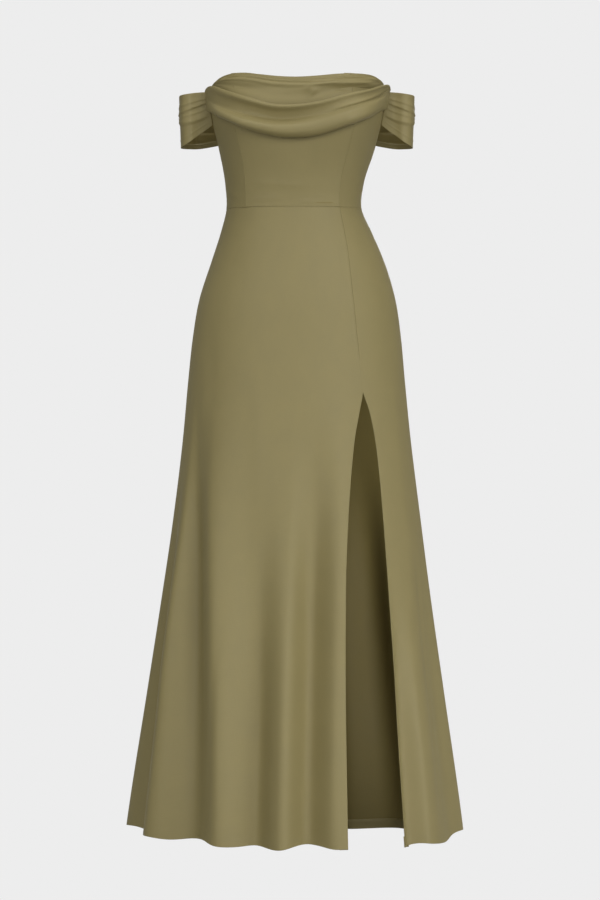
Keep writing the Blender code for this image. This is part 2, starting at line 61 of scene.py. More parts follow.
# Each ring of the dress: its height, the reach to each side, to the front and to the back,
# and how far its corners swell past an ellipse, as a share.
Ring = namedtuple("Ring", "height right left front back corner")
RINGS = [
    Ring(-1.135, 0.3075, 0.3020, 0.240, 0.258, 0.000),
    Ring(-1.050, 0.2955, 0.2910, 0.229, 0.245, 0.000),
    Ring(-0.873, 0.2675, 0.2655, 0.203, 0.217, 0.000),
    Ring(-0.695, 0.2400, 0.2405, 0.176, 0.190, 0.005),
    Ring(-0.553, 0.2190, 0.2222, 0.155, 0.168, 0.010),
    Ring(-0.410, 0.2015, 0.2042, 0.137, 0.151, 0.020),
    Ring(-0.303, 0.1917, 0.1936, 0.126, 0.143, 0.025),
    Ring(-0.232, 0.1842, 0.1872, 0.119, 0.139, 0.030),
    Ring(-0.161, 0.1722, 0.1770, 0.112, 0.129, 0.035),
    Ring(-0.090, 0.1495, 0.1558, 0.101, 0.107, 0.035),
    Ring(-0.040, 0.1335, 0.1344, 0.091, 0.090, 0.035),
    Ring(0.000, 0.1240, 0.1170, 0.084, 0.080, 0.040),
    Ring(0.045, 0.1260, 0.1204, 0.088, 0.082, 0.045),
    Ring(0.106, 0.1370, 0.1397, 0.100, 0.091, 0.050),
    Ring(0.152, 0.1476, 0.1513, 0.108, 0.097, 0.050),
    Ring(0.200, 0.1545, 0.1590, 0.108, 0.100, 0.045),
    Ring(0.240, 0.1560, 0.1600, 0.103, 0.100, 0.040),
]

# The cups that the princess seams shape
Cup = namedtuple("Cup", "angle height rise spread_angle spread_height")
CUPS = [
    Cup(-38.0, 0.150, 0.015, 21.0, 0.050),
    Cup(38.0, 0.150, 0.015, 21.0, 0.050),
]

# Crests and valleys of the skirt folds in their order round it, each fading in from its start height to its
# full height, with its angle at FOLD_HIGH and at FOLD_LOW. A negative rise is a valley.
Fold = namedtuple("Fold", "start full angle_high angle_low rise")
FOLD_HIGH = -0.50
FOLD_LOW = -1.10
FOLD_START = 0.4
FOLD_EASE = 1.4
FOLDS = [
    Fold(-0.45, -0.90, -76.0, -68.0, -0.018),
    Fold(-0.40, -0.85, -64.0, -54.0, 0.020),
    Fold(-0.30, -0.75, -56.0, -37.5, -0.018),
    Fold(-0.25, -0.75, -41.0, -25.0, 0.021),
    Fold(-0.42, -0.95, -17.5, -13.5, -0.017),
    Fold(-0.45, -1.00, -3.5, -4.0, 0.019),
    Fold(-0.35, -0.75, 8.0, 4.6, -0.020),
    Fold(-0.30, -0.70, 20.5, 13.4, 0.016),
    Fold(-0.55, -0.95, 43.0, 38.0, 0.004),
    Fold(-0.70, -1.00, 48.0, 41.8, -0.009),
    Fold(-0.60, -1.00, 57.0, 49.5, 0.012),
    Fold(-0.50, -0.95, 74.0, 70.0, -0.009),
    Fold(-0.50, -0.95, 84.0, 83.0, 0.001),
    Fold(-0.45, -0.90, 100.0, 100.0, -0.017),
    Fold(-0.42, -0.85, 115.0, 115.0, 0.019),
    Fold(-0.38, -0.80, 131.0, 130.0, -0.019),
    Fold(-0.40, -0.85, 146.0, 145.0, 0.020),
    Fold(-0.36, -0.80, 160.0, 160.0, -0.019),
    Fold(-0.45, -0.90, 173.0, 173.0, 0.017),
    Fold(-0.40, -0.85, 187.0, 187.0, -0.017),
    Fold(-0.42, -0.88, 200.0, 200.0, 0.020),
    Fold(-0.36, -0.80, 213.0, 214.0, -0.020),
    Fold(-0.40, -0.85, 226.0, 228.0, 0.019),
    Fold(-0.44, -0.90, 238.0, 241.0, -0.017),
    Fold(-0.46, -0.90, 250.0, 252.0, 0.014),
    Fold(-0.50, -0.95, 262.0, 262.5, -0.012),
    Fold(-0.50, -0.95, 276.0, 277.0, 0.001),
]

# Height of the hem and of the bodice's top edge at each angle, and the hem's rough height all round
Edge = namedtuple("Edge", "angle height")
HEM = [Edge(*row) for row in (
    (-180.0, -1.129), (-135.0, -1.121), (-90.0, -1.094), (-76.0, -1.0915), (-68.0, -1.0955),
    (-60.0, -1.0975), (-54.0, -1.0985), (-46.0, -1.1025), (-38.0, -1.0998), (-31.0, -1.1000),
    (-25.0, -1.1065), (-19.0, -1.1085), (-13.5, -1.1068), (-4.0, -1.1112), (2.0, -1.1055), (5.0, -1.1045),
    (9.0, -1.1062), (13.4, -1.1105), (17.0, -1.1110), (38.0, -1.1158), (45.0, -1.1085), (50.0, -1.1105),
    (67.0, -1.1105), (74.0, -1.1030), (90.0, -1.1010), (135.0, -1.1235), (180.0, -1.129),
)]
HEM_ROUGH = -1.1
NECK = [Edge(*row) for row in (
    (-180.0, 0.1860), (-130.0, 0.1880), (-100.0, 0.1930), (-80.0, 0.2040), (-64.0, 0.2210), (-48.0, 0.2315),
    (-36.0, 0.2338), (-26.0, 0.2306), (-13.0, 0.2266), (0.0, 0.2252), (13.0, 0.2272), (28.0, 0.2313),
    (40.0, 0.2330), (56.0, 0.2305), (66.0, 0.2245), (82.0, 0.2080), (100.0, 0.1930), (130.0, 0.1880),
    (180.0, 0.1860),
)]

# The seam on the wearer's left thigh and the two edges of the slit that it opens into
SLIT_TOP = -0.328
Slit = namedtuple("Slit", "height near far")
SLIT = [
    Slit(-1.135, 17.0, 39.5),
    Slit(-0.990, 17.6, 40.2),
    Slit(-0.840, 18.5, 41.4),
    Slit(-0.730, 19.6, 42.0),
    Slit(-0.630, 21.0, 42.6),
    Slit(-0.540, 23.4, 42.8),
    Slit(-0.470, 26.2, 42.6),
    Slit(-0.400, 30.0, 41.2),
    Slit(-0.355, 33.6, 38.6),
    Slit(SLIT_TOP, 35.8, 35.8),
    Slit(-0.260, 34.2, 34.2),
    Slit(-0.190, 33.0, 33.0),
    Slit(-0.125, 33.2, 33.2),
    Slit(-0.050, 36.6, 36.6),
    Slit(0.000, 40.0, 40.0),
]

# Heights along the draped neckline: its sewn top edge, its fold line, its crease and its lower edge.
# Fullness is how far it stands off the bodice there, as a share of the most, trough is how deep the crease
# is cut and lean is how far the cloth there faces down.
Drape = namedtuple("Drape", "angle top fold crease lower fullness trough lean")
DRAPE = [
    Drape(-88.0, 0.2030, 0.2060, 0.1930, 0.1740, 0.02, 0.00, 0.1),
    Drape(-75.0, 0.2090, 0.2125, 0.1930, 0.1708, 0.16, 0.00, 0.1),
    Drape(-60.0, 0.2225, 0.2132, 0.1830, 0.1622, 0.40, 0.00, 0.3),
    Drape(-45.0, 0.2290, 0.2022, 0.1700, 0.1490, 0.80, 0.70, 0.0),
    Drape(-30.0, 0.2292, 0.1890, 0.1572, 0.1310, 1.15, 1.35, 0.0),
    Drape(-15.0, 0.2225, 0.1765, 0.1500, 0.1200, 1.15, 1.35, 0.0),
    Drape(0.0, 0.2200, 0.1758, 0.1515, 0.1176, 1.10, 1.00, 0.0),
    Drape(15.0, 0.2212, 0.1822, 0.1590, 0.1222, 1.00, 0.50, 0.0),
    Drape(30.0, 0.2262, 0.1952, 0.1740, 0.1362, 1.00, 0.00, 0.1),
    Drape(45.0, 0.2280, 0.2045, 0.1900, 0.1522, 0.84, 0.00, 0.8),
    Drape(60.0, 0.2270, 0.2150, 0.2020, 0.1672, 0.42, 0.00, 1.0),
    Drape(75.0, 0.2150, 0.2170, 0.2030, 0.1745, 0.14, 0.00, 0.5),
    Drape(88.0, 0.2030, 0.2065, 0.1960, 0.1770, 0.02, 0.00, 0.2),
]
DRAPE_END = 81.0
DRAPE_LEAN = 9.0 * MM
LEAN_PIVOT = 0.75
# Where the lower drape's small creases start and end down its cross-section, and how fast they fade there
SWELL_START, SWELL_END, SWELL_FADE = 0.30, 0.93, 0.08
DRAPE_TUCK = 9.5 * MM
DRAPE_DEEP = 26.0 * MM

# The lower drape's cross-section from its hidden top end, over the rolled fold, in at the crease, out over
# the swell and under at the lower edge. Height is fold + (next line down - fold) * share + rise, and the
# cloth stands off the bodice by close + full * fullness + cut * trough, in millimetres.
Bend = namedtuple("Bend", "line share rise close full cut")
BENDS = [
    Bend("fold", 0.00, -0.0105, 3.0, 0.0, 0.0),
    Bend("fold", 0.00, -0.0045, 3.4, 0.4, 0.0),
    Bend("fold", 0.00, -0.0010, 4.6, 1.4, 0.0),
    Bend("fold", 0.00, 0.0000, 5.6, 2.2, 0.0),
    Bend("fold", 0.00, -0.0010, 7.2, 4.8, 0.0),
    Bend("fold", 0.18, -0.0010, 7.2, 5.2, -0.2),
    Bend("fold", 0.48, 0.0000, 6.4, 3.2, -4.0),
    Bend("fold", 0.76, 0.0000, 6.2, 2.2, -6.0),
    Bend("fold", 1.00, 0.0000, 6.2, 3.0, -6.6),
    Bend("crease", 0.18, 0.0000, 6.6, 6.8, -3.0),
    Bend("crease", 0.40, 0.0000, 6.8, 11.6, 1.0),
    Bend("crease", 0.70, 0.0000, 7.0, 13.6, 1.0),
    Bend("crease", 0.86, 0.0000, 6.8, 12.0, 0.4),
    Bend("crease", 0.96, 0.0000, 6.0, 8.4, 0.0),
    Bend("crease", 1.00, 0.0003, 4.6, 4.6, 0.0),
    Bend("crease", 0.96, 0.0003, 3.2, 2.2, 0.0),
]

# How far the upper drape stands off the bodice, by the share of its shown height below its sewn edge
Lift = namedtuple("Lift", "share out")
UPPER_LIFTS = [
    Lift(0.00, 0.4 * MM),
    Lift(0.03, 3.2 * MM),
    Lift(0.07, 3.3 * MM),
    Lift(0.10, 1.8 * MM),
    Lift(0.16, 5.2 * MM),
    Lift(0.36, 4.3 * MM),
    Lift(0.62, 2.0 * MM),
    Lift(0.85, 2.2 * MM),
    Lift(1.00, 1.9 * MM),
    Lift(1.60, 1.9 * MM),
]

# Plan of the sleeve band round the upper arm, on the wearer's left, with its top and lower edges.
# Its two ends lie on the bodice at SLEEVE_ROOTS, so the first and last rows' x and y aren't read.
Band = namedtuple("Band", "share x y top lower")
SLEEVE = [
    Band(0.00, 0.0, 0.0, 0.2082, 0.1500),
    Band(0.12, 0.1730, -0.0110, 0.2072, 0.1330),
    Band(0.28, 0.1915, -0.0165, 0.2045, 0.1190),
    Band(0.40, 0.2040, -0.0080, 0.2030, 0.1122),
    Band(0.52, 0.2085, 0.0150, 0.2026, 0.1108),
    Band(0.64, 0.2075, 0.0430, 0.2022, 0.1118),
    Band(0.76, 0.1970, 0.0680, 0.2000, 0.1132),
    Band(0.88, 0.1720, 0.0800, 0.1950, 0.1150),
    Band(1.00, 0.0, 0.0, 0.1860, 0.1230),
]
Root = namedtuple("Root", "angle clear")
SLEEVE_ROOTS = (Root(84.5, 0.6 * MM), Root(128.0, 0.8 * MM))
SLEEVE_SHIFT = {"left": 0.0030, "right": 0.0}
SLEEVE_TAPER = 0.003
SLEEVE_CENTRE = (0.178, 0.035)

# Pleats lie at their root's height at both ends of the band and reach their outer height between PLEATS_OUT
# and PLEATS_IN, shares of the way round. They flatten over SLEEVE_SETTLE at each end.
PLEATS_OUT = 0.55
PLEATS_IN = 0.60
SLEEVE_SETTLE = 0.10

# Sleeve pleats: where each laid edge crosses the height of the band at its root and round the arm,
# how far it stands up, its soft side and its sharp side
Pleat = namedtuple("Pleat", "root outer rise soft sharp")
PLEATS = [
    Pleat(0.12, 0.200, 1.0 * MM, 0.12, 0.050),
    Pleat(0.27, 0.350, 2.0 * MM, 0.24, 0.035),
    Pleat(0.46, 0.410, 0.9 * MM, 0.10, 0.060),
    Pleat(0.70, 0.500, 2.2 * MM, 0.24, 0.090),
    Pleat(0.90, 0.905, 0.5 * MM, 0.05, 0.020),
]

# Seams round the bodice, at the waist and at the top edge
Seam = namedtuple("Seam", "waist neck")
PRINCESS_RIGHT = Seam(-42.5, -40.5)
PRINCESS_LEFT = Seam(40.0, 34.5)
SIDE_RIGHT = Seam(-91.0, -91.0)
SIDE_LEFT = Seam(91.0, 91.0)
BACK_RIGHT = Seam(-142.0, -138.0)
BACK_LEFT = Seam(142.0, 138.0)
CENTRE_BACK = 180.0
# Just short of the centre back, where the tables of angles end
NEAR_BACK = 179.9
BODICE_NODES = [
    "bodice_front", "bodice_side_front_right", "bodice_side_front_left", "bodice_side_back_right",
    "bodice_side_back_left", "bodice_back_right", "bodice_back_left",
]

# Soft creases that the cloth takes as it hangs, from one end to the other: angle and height of each end,
# how far it stands out or in, and its half width, both in millimetres
Crease = namedtuple("Crease", "angle_a height_a angle_b height_b rise width")
BODICE_CREASES = [
    Crease(6.0, 0.0085, 37.0, 0.0062, 1.4, 1.7),
    Crease(14.0, 0.0175, 36.0, 0.0150, 0.5, 3.0),
    Crease(-36.0, 0.0120, -12.0, 0.0155, 0.8, 3.5),
    Crease(-30.0, 0.0420, 8.0, 0.0350, 0.7, 5.0),
    Crease(-70.0, 0.0300, -50.0, 0.0180, 0.8, 4.0),
    Crease(56.0, 0.0180, 78.0, 0.0330, 0.8, 4.0),
    Crease(60.0, 0.0500, 82.0, 0.0640, -0.6, 5.0),
    Crease(-80.0, 0.0620, -58.0, 0.0480, -0.6, 5.0),
    Crease(100.0, 0.0250, 132.0, 0.0160, 0.9, 4.0),
    Crease(-134.0, 0.0180, -104.0, 0.0270, 0.9, 4.0),
    Crease(112.0, 0.0560, 136.0, 0.0450, -0.7, 5.0),
    Crease(-132.0, 0.0480, -110.0, 0.0580, -0.7, 5.0),
    Crease(148.0, 0.0200, 176.0, 0.0280, 0.8, 4.5),
    Crease(-174.0, 0.0300, -146.0, 0.0210, 0.8, 4.5),
]
SKIRT_CREASES = [
    Crease(-70.0, -0.0300, -30.0, -0.0520, 0.7, 7.0),
    Crease(-62.0, -0.0800, -36.0, -0.1100, -0.6, 9.0),
    Crease(44.0, -0.0300, 72.0, -0.0220, 0.7, 6.0),
    Crease(-20.0, -0.3300, -17.0, -0.6200, 1.0, 13.0),
    Crease(-50.0, -0.2600, -47.0, -0.5200, -1.2, 15.0),
    Crease(58.0, -0.3000, 60.0, -0.6600, 1.2, 14.0),
    Crease(66.0, -0.6500, 58.0, -1.0900, -1.6, 10.0),
    Crease(-31.0, -0.7600, -30.0, -1.0950, -1.4, 9.0),
    Crease(-9.0, -0.8400, -8.5, -1.1000, 0.5, 8.0),
    Crease(104.0, -0.0400, 140.0, -0.0650, 0.8, 8.0),
    Crease(-150.0, -0.0500, -112.0, -0.0380, 0.8, 8.0),
    Crease(124.0, -0.3500, 122.0, -0.7600, 1.2, 14.0),
    Crease(-128.0, -0.3200, -126.0, -0.7000, -1.3, 14.0),
    Crease(166.0, -0.6800, 167.0, -1.1000, 1.5, 9.0),
    Crease(-153.0, -0.7200, -154.0, -1.1000, -1.5, 9.0),
]
DRAPE_CREASES = [
    Crease(14.0, 0.2125, 52.0, 0.2170, 5.0, 4.4),
    Crease(26.0, 0.2030, 56.0, 0.2060, -3.2, 3.4),
    Crease(7.0, 0.2100, 11.0, 0.1950, 3.4, 10.0),
    Crease(-40.0, 0.2070, -4.0, 0.2050, -1.8, 7.0),
]
SWELL_CREASES = [
    Crease(66.0, 0.2030, 20.0, 0.1600, -5.0, 3.0),
    Crease(56.0, 0.1960, 26.0, 0.1700, 1.6, 4.5),
    Crease(28.0, 0.1560, 34.0, 0.1400, 1.6, 9.0),
]

# Shaped seams turn the cloth at a low ridge: how high it stands and how far from the seam it fades
RIDGE = 1.8 * MM
RIDGE_REACH = 13.0 * MM
THIGH_RIDGE = 1.0 * MM
THIGH_FADE = 0.06

# A crease fades in and out over this share of its length, half before each end and half after
CREASE_FADE = 0.5

# How a pressed edge lies: the shares of its allowance that get a row, the flat run behind the turn, and the
# offset and share of the press of each row in front of it
ALLOWANCE_ROWS = (1.0, 0.7, 0.4)
TURN_RUN = 1.2 * MM
PRESS = 0.25 * MM
PRESS_ROWS = ((0.9 * MM, 0.6), (2.4 * MM, 0.25), (4.2 * MM, 0.0))

# Puckers that stitching draws along a seam: the space between two, and each wave's share of the height
Pucker = namedtuple("Pucker", "space share")
PUCKERS = [Pucker(11.3 * MM, 0.5), Pucker(17.9 * MM, 0.35), Pucker(7.1 * MM, 0.3)]
PUCKER_REACH = 6.0 * MM
# The waist's puckers run round the dress, so angles are read there as lengths of cloth. Shifts keep the waves
# of two seams that meet from falling in step.
PUCKER_RUN = 2.2 * MM
SEAM_SHIFT = 4.0 * MM
WAIST_SHIFT = 3.0 * MM

# The coil of the zip: its ends, the space between turns, its radius and filament, how far it lies behind the
# cloth, and the middle and half sizes of each row's flattened turns as shares of the radius
COIL_TOP = 0.172
COIL_FOOT = -0.180
COIL_PITCH = 1.2 * MM
COIL_RADIUS = 1.0 * MM
COIL_WIRE = 0.22 * MM
COIL_BEHIND = 2.6 * MM
COIL_MIDDLE, COIL_WIDE, COIL_DEEP = 0.9, 0.75, 0.5
COIL_POINTS = 8

# Soft lights: the setting that gives each its power, its place, the height that it points at, its side, and
# the angle that it spreads to
Softbox = namedtuple("Softbox", "power at aim side spread")
SOFTBOXES = {
    "key_softbox": Softbox("key", (2.25, -4.1, 1.6), -0.45, 2.2, 180.0),
    "fill_softbox": Softbox("fill", (-2.0, -4.8, 1.3), -0.45, 2.2, 180.0),
    "top_softbox": Softbox("top", (0.1, -1.1, 3.2), -0.45, 1.8, 180.0),
    "low_softbox": Softbox("low", (2.3, -1.7, -0.95), -1.1, 0.9, 60.0),
    "back_softbox": Softbox("back", (0.2, 4.9, 1.4), -0.45, 2.2, 180.0),
}
INNER_SIZE = (0.06, 0.85)
INNER_AT = (0.20, 0.03, -0.70)
INNER_TURN = (math.pi / 2, -0.12, 0.64)
CAMERA_SIDE = 0.0071
CAMERA_HEIGHT = -0.428
SENSOR_HEIGHT = 36.0
FLOOR_HEIGHT = -1.131
FLOOR_REACH = 30.0


def through(places, values, at):
    """A smooth curve through the values at those places, read at each of at."""
    places, values, at = (np.asarray(v, float) for v in (places, values, at))
    slopes = np.gradient(values, places)
    i = np.clip(np.searchsorted(places, at) - 1, 0, len(places) - 2)
    width = places[i + 1] - places[i]
    t = np.clip((at - places[i]) / width, 0.0, 1.0)
    rise = values[i + 1] - values[i]
    ease = t * t * (3 - 2 * t)
    bend = t * (1 - t) * ((1 - t) * (slopes[i] * width) - t * (slopes[i + 1] * width))
    return values[i] + rise * ease + bend


def column(table, key, name, at):
    """One column of a table as a smooth curve over its key column."""
    return through([getattr(r, key) for r in table], [getattr(r, name) for r in table], at)


def soft_step(t):
    t = np.clip(t, 0.0, 1.0)
    return t * t * (3 - 2 * t)


def turned(angle):
    """The angle brought between -180 and 180."""
    return (angle + 180.0) % 360.0 - 180.0


def fold_rise(angle, height):
    """How far the skirt's folds carry the cloth out at a point."""
    low = (FOLD_HIGH - np.maximum(height, FOLD_LOW)) / (FOLD_HIGH - FOLD_LOW)
    lean = np.where(low > 0, 1 - (1 - np.clip(low, 0, 1)) ** FOLD_EASE, np.maximum(low, -FOLD_START))
    at = [f.angle_high + (f.angle_low - f.angle_high) * lean for f in FOLDS]
    rise = [f.rise * soft_step((f.start - height) / (f.start - f.full)) for f in FOLDS]
    round_trip = (angle - at[0]) % 360.0
    total = np.zeros_like(height)
    for k in range(len(FOLDS)):
        n = (k + 1) % len(FOLDS)
        here = at[k] - at[0]
        there = at[n] - at[0] + (360.0 if n == 0 else 0.0)
        share = (round_trip - here) / (there - here)
        between = (share >= 0) & (share < 1)
        total += np.where(between, rise[k] + (rise[n] - rise[k]) * soft_step(share), 0.0)
    return total


def cup_rise(angle, height):
    """How far the cups carry the bodice out at a point."""
    total = np.zeros_like(height)
    for cup in CUPS:
        across = turned(angle - cup.angle) / cup.spread_angle
        up = (height - cup.height) / cup.spread_height
        total += cup.rise * np.exp(-across * across - up * up)
    return total


def body(angle, height, out=0.0):
    """Points on the dress's outer face at those angles and heights, moved out level by out."""
    angle, height = np.broadcast_arrays(np.asarray(angle, float), np.asarray(height, float))
    turn = np.radians(angle)
    right, left, front, back, corner = (
        column(RINGS, "height", name, height) for name in Ring._fields[1:]
    )
    half = (right + left) / 2
    depth = np.where(np.cos(turn) > 0, front, back)
    swell = 1 + corner * np.sin(2 * turn) ** 2
    side, ahead = np.sin(turn) / half, -np.cos(turn) / depth
    length = np.hypot(side, ahead)
    out = out + fold_rise(angle, height) + cup_rise(angle, height)
    x = (left - right) / 2 + half * swell * np.sin(turn) + out * side / length
    y = -depth * swell * np.cos(turn) + out * ahead / length
    return np.stack([x, y, height], axis=-1)


def metres_per_degree(angle, height):
    """How far a degree reaches along the cloth at a point."""
    half = (column(RINGS, "height", "left", height) + column(RINGS, "height", "right", height)) / 2
    depth = np.where(
        np.cos(np.radians(angle)) > 0,
        column(RINGS, "height", "front", height),
        column(RINGS, "height", "back", height),
    )
    turn = np.radians(angle)
    return np.hypot(half * np.cos(turn), depth * np.sin(turn)) * math.pi / 180


def crease_rise(table, angle, height):
    """How far the soft creases of a table carry the cloth out at a point."""
    angle = turned(angle)
    total = np.zeros_like(height)
    for c in table:
        per = float(metres_per_degree((c.angle_a + c.angle_b) / 2, (c.height_a + c.height_b) / 2))
        run = np.array([(c.angle_b - c.angle_a) * per, c.height_b - c.height_a])
        length = float(np.hypot(*run))
        along = ((angle - c.angle_a) * per * run[0] + (height - c.height_a) * run[1]) / length
        across = (-(angle - c.angle_a) * per * run[1] + (height - c.height_a) * run[0]) / length
        share = along / length
        fade = soft_step(share / CREASE_FADE + 0.5) * soft_step((1 - share) / CREASE_FADE + 0.5)
        total += c.rise * MM * fade * np.exp(-((across / (c.width * MM)) ** 2))
    return total


def pucker_rise(from_seam, along, height):
    """The small waves that a seam's stitches draw into the cloth beside it."""
    wave = sum(p.share * np.sin(along * 2 * math.pi / p.space + k) for k, p in enumerate(PUCKERS))
    return height * wave * np.exp(-np.abs(from_seam) / PUCKER_REACH)


def ridge_rise(angle, height):
    """How far the princess seams' ridges carry the bodice out at a point."""
    share = height / column(NECK, "angle", "height", turned(np.clip(angle, -NEAR_BACK, NEAR_BACK)))
    total = np.zeros_like(height)
    for seam in (PRINCESS_RIGHT, PRINCESS_LEFT):
        at = seam.waist + (seam.neck - seam.waist) * share
        away = np.abs(angle - at) * metres_per_degree(angle, height)
        total += RIDGE * np.exp(-away / RIDGE_REACH)
    return total


def thigh_rise(angle, height):
    """How far the thigh seam's ridge carries the skirt out at a point."""
    away = np.abs(turned(angle - column(SLIT, "height", "near", height))) * metres_per_degree(angle, height)
    fade = soft_step((height - SLIT_TOP) / THIGH_FADE)
    return THIGH_RIDGE * fade * np.exp(-away / RIDGE_REACH)


# One direction across a panel. Share runs from 0 to 1 over the open cloth, offset is in metres from there,
# and dip is how far in the cloth lies where it is turned under.
Steps = namedtuple("Steps", "share offset dip")


def turned_edge(allowance, radius, press):
    """Offset and dip from the inner end of an edge's allowance, round its turn, to the open cloth."""
    under = [(allowance * k, 2 * radius) for k in ALLOWANCE_ROWS] + [(radius + TURN_RUN, 2 * radius)]
    turn = [
        (radius * (1 - math.cos(math.radians(a))), radius * (1 - math.sin(math.radians(a))))
        for a in range(-90, 91, 30)
    ]
    settle = [(radius + offset, press * share) for offset, share in PRESS_ROWS]
    return under + turn + settle


def steps(length, cell, low, high, radius, press=PRESS):
    """Steps over a panel with a turned allowance at its low and high edge."""
    first, last = turned_edge(low, radius, press), turned_edge(high, radius, press)
    start, end = first[-1][0], last[-1][0]
    count = max(2, round(length / cell))
    share = [k / count for k in range(1, count)]
    rows = [(0.0, offset, dip) for offset, dip in first]
    rows += [(s, start * (1 - s) - end * s, 0.0) for s in share]
    rows += [(1.0, -offset, dip) for offset, dip in reversed(last)]
    return Steps(*(np.array(c) for c in zip(*rows)))


def sizes():
    return bpy.context.scene.dress_sizes


def colours():
    return bpy.context.scene.dress_colours


def hex_colour(code):
    """An sRGB hex value as linear red, green, blue and alpha."""
    parts = [int(code[k : k + 2], 16) / 255 for k in (1, 3, 5)]
    return [c / 12.92 if c <= 0.04045 else ((c + 0.055) / 1.055) ** 2.4 for c in parts] + [1.0]


def add_node(material, kind, inputs=(), **settings):
    """Adds a node with its settings. Each input is a value or the output socket that feeds it."""
    tree = material.node_tree
    node = tree.nodes.new(kind)
    for name, value in settings.items():
        setattr(node, name, value)
    for name, value in dict(inputs).items():
        if isinstance(value, bpy.types.NodeSocket):
            tree.links.new(value, node.inputs[name])
        else:
            node.inputs[name].default_value = value
    return node


def new_material(name):
    """An empty node material and its Principled shader."""
    material = bpy.data.materials.new(name)
    material.use_nodes = True
    return material, material.node_tree.nodes["Principled BSDF"]


def set_inputs(shader, values):
    for name, value in values.items():
        shader.inputs[name].default_value = value


def noise(material, place, scale, detail, roughness=0.5):
    """The value of a noise texture, with its scale in waves a metre."""
    inputs = {"Vector": place, "Scale": scale, "Detail": detail, "Roughness": roughness}
    return add_node(material, "ShaderNodeTexNoise", inputs).outputs["Fac"]


def slubs(material, place, scale, detail, roughness=0.5):
    """Long threads of noise, with its waves a metre across and along the cloth."""
    threads = add_node(material, "ShaderNodeMapping", {"Vector": place, "Scale": (*scale, 1.0)})
    return noise(material, threads.outputs["Vector"], 1.0, detail, roughness)


def blend(material, share, one, two):
    mix = add_node(material, "ShaderNodeMix", {"Factor": share, 6: one, 7: two}, data_type="RGBA")
    return mix.outputs[2]


def relief(material, height, strength, distance):
    inputs = {"Height": height, "Strength": strength, "Distance": distance}
    return add_node(material, "ShaderNodeBump", inputs).outputs["Normal"]


def woven_satin(name, colour, roughness, sheen):
    """Duchess satin of polyester: a smooth warp-faced weave that gives a wide, low gloss and fine slubs."""
    known = bpy.data.materials.get(name)
    if known:
        return known
    material, shader = new_material(name)
    link = material.node_tree.links.new
    place = add_node(material, "ShaderNodeUVMap", uv_map="cloth").outputs["UV"]
    # A warp thread is 0.1 mm, too fine for the render, so it is drawn as 2 mm slubs 17 mm long.
    warp = slubs(material, place, (520.0, 60.0), 3.0, 0.55)
    weft = slubs(material, place, (80.0, 480.0), 2.0)
    both = add_node(material, "ShaderNodeMath", {0: warp, 1: weft}, operation="ADD").outputs["Value"]
    # Dye takes a little unevenly over some 60 mm, and handling leaves faint duller clouds.
    clouds = noise(material, place, 16.0, 4.0, 0.6)
    deep = [c * 0.93 for c in colour[:3]] + [1.0]
    pale = [min(1.0, c * 1.06) for c in colour[:3]] + [1.0]
    dull = {"Value": clouds, "From Min": 0.3, "From Max": 0.7}
    dull.update({"To Min": roughness - 0.03, "To Max": roughness + 0.04})
    gloss = add_node(material, "ShaderNodeMapRange", dull)
    link(blend(material, clouds, deep, pale), shader.inputs["Base Color"])
    link(gloss.outputs["Result"], shader.inputs["Roughness"])
    link(relief(material, both, 0.30, 0.30 * MM), shader.inputs["Normal"])
    set_inputs(shader, {"IOR": 1.45, "Specular IOR Level": 0.42, "Sheen Weight": sheen})
    set_inputs(shader, {"Sheen Roughness": 0.45, "Sheen Tint": hex_colour("#c9bd94")})
    return material


def satin():
    """The right side of the cloth: the glossier, warp-faced side."""
    return woven_satin("duchess_satin", colours().satin[:], 0.56, 0.12)


def satin_reverse():
    """The wrong side of the cloth, which is duller and a little darker."""
    return woven_satin("satin_reverse", colours().reverse[:], 0.62, 0.05)


def zip_enamel():
    """Die-cast zinc with a baked enamel that matches the cloth: even colour and a small clear highlight."""
    known = bpy.data.materials.get("enamelled_zinc")
    if known:
        return known
    material, shader = new_material("enamelled_zinc")
    link = material.node_tree.links.new
    place = add_node(material, "ShaderNodeTexCoord").outputs["Object"]
    # Castings keep a fine pebble of about 0.3 mm under the enamel.
    pebble = noise(material, place, 3300.0, 2.0)
    worn = add_node(material, "ShaderNodeMapRange", {"Value": pebble, "To Min": 0.26, "To Max": 0.40})
    link(relief(material, pebble, 0.15, 0.05 * MM), shader.inputs["Normal"])
    link(worn.outputs["Result"], shader.inputs["Roughness"])
    set_inputs(shader, {"Base Color": colours().metal[:], "Metallic": 0.55})
    set_inputs(shader, {"Coat Weight": 0.3, "Coat Roughness": 0.15})
    return material


def coil_nylon():
    """Nylon filament of the zip's coil: smooth, slightly clear and dyed to match."""
    known = bpy.data.materials.get("zip_coil_nylon")
    if known:
        return known
    material, shader = new_material("zip_coil_nylon")
    place = add_node(material, "ShaderNodeTexCoord").outputs["Object"]
    # The filament's dye varies along runs of about 5 mm.
    dye = noise(material, place, 200.0, 2.0)
    tone = [c * 0.85 for c in colours().reverse[:3]] + [1.0]
    shade = blend(material, dye, tone, colours().reverse[:])
    material.node_tree.links.new(shade, shader.inputs["Base Color"])
    set_inputs(shader, {"Roughness": 0.38, "IOR": 1.53})
    return material


def keep_object(name, mesh, materials):
    made = bpy.data.objects.new(name, mesh)
    bpy.context.scene.collection.objects.link(made)
    for material in materials:
        mesh.materials.append(material)
    return made


